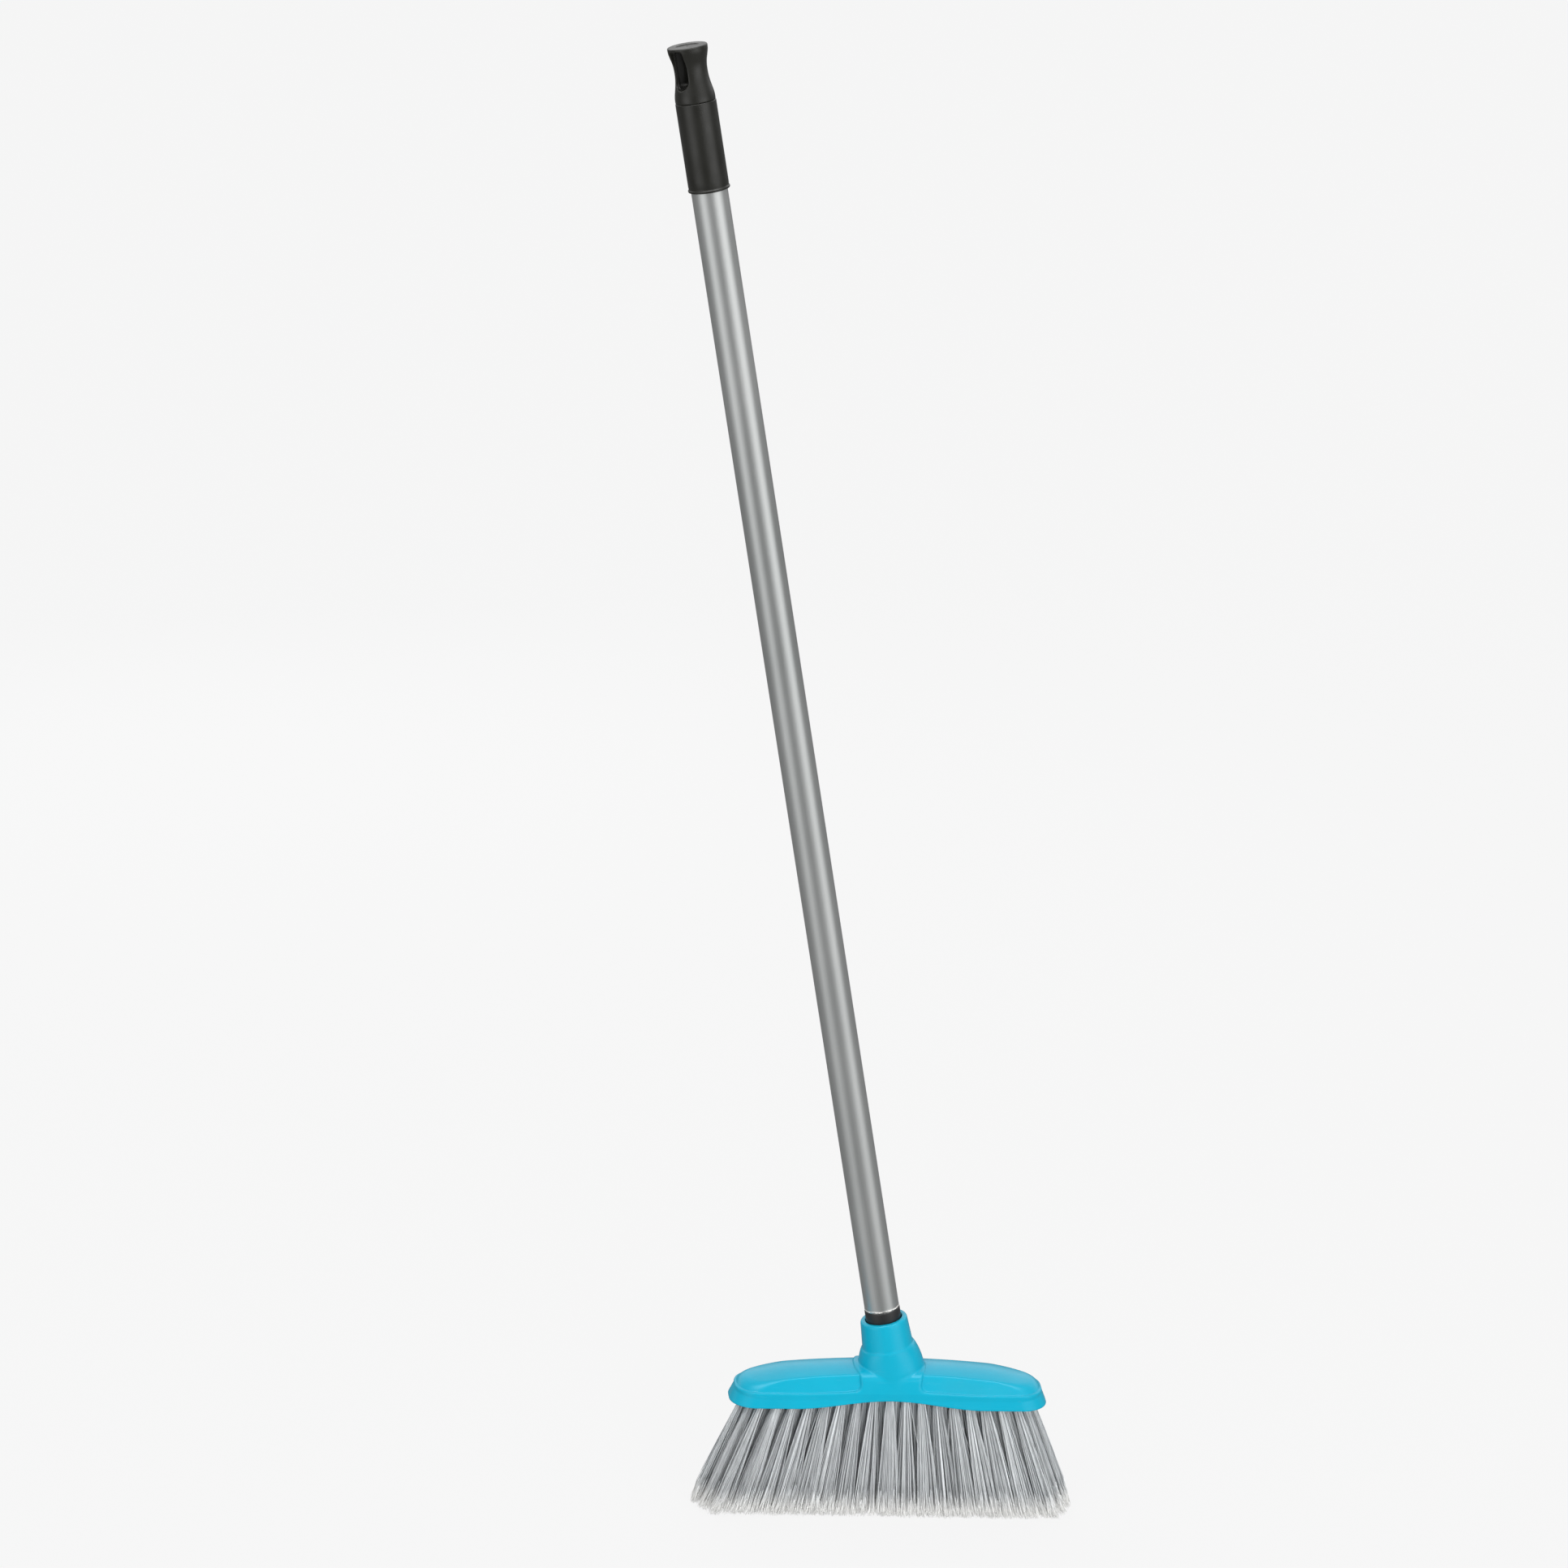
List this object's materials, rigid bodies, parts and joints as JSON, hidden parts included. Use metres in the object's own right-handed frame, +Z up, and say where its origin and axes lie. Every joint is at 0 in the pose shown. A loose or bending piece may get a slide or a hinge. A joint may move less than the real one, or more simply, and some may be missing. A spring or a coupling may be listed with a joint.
{
  "type": "floor broom",
  "caption": "Floor broom: blue plastic head with flared grey bristles, silver tube handle screwed in at a lean, black grip and hanging cap.",
  "frame": {"origin": "middle of the bristle tips, on the floor", "axes": "+Z up; +X along the head, with the handle leaning towards -X; -Y is the front of the head"},
  "size_m": [0.3841, 0.0608, 1.1906],
  "materials": {
    "cover_plastic": "semi-gloss moulded",
    "block_plastic": "moulded",
    "bristle_fibre": "fine satin filaments with split pale tips",
    "anchor_wire": "drawn wire",
    "collar_plastic": "satin black",
    "tube_steel": "drawn",
    "silver_film": "satin silver",
    "grip_plastic": "satin black"
  },
  "bodies": {
    "head": {"head_cover": "cover_plastic", "bristle_block": "block_plastic", "bristle_row_1": "bristle_fibre", "bristle_row_2": "bristle_fibre", "bristle_row_3": "bristle_fibre", "bristle_row_4": "bristle_fibre", "bristle_row_5": "bristle_fibre", "tuft_anchors": "anchor_wire"},
    "collar": {"collar_ring": "collar_plastic"},
    "handle": {"thread_insert": "collar_plastic", "handle_tube": "tube_steel", "tube_film": "silver_film", "grip_sleeve": "grip_plastic", "hanger_cap": "grip_plastic"}
  },
  "joints": [
    {"name": "handle_lift", "type": "slide", "parent": "head", "child": "collar", "axis": [-0.1959, 0, 0.9806], "range_m": [0, 0.0251]},
    {"name": "handle_turn", "type": "hinge", "parent": "collar", "child": "handle", "pos_m": [-0.00674, 0, 0.16303], "axis": [-0.1959, 0, 0.9806], "range_deg": [0, 1800]}
  ],
  "couplings": [
    {"joint": "handle_lift", "follows": "handle_turn", "m_per_rad": 0.00079577}
  ]
}
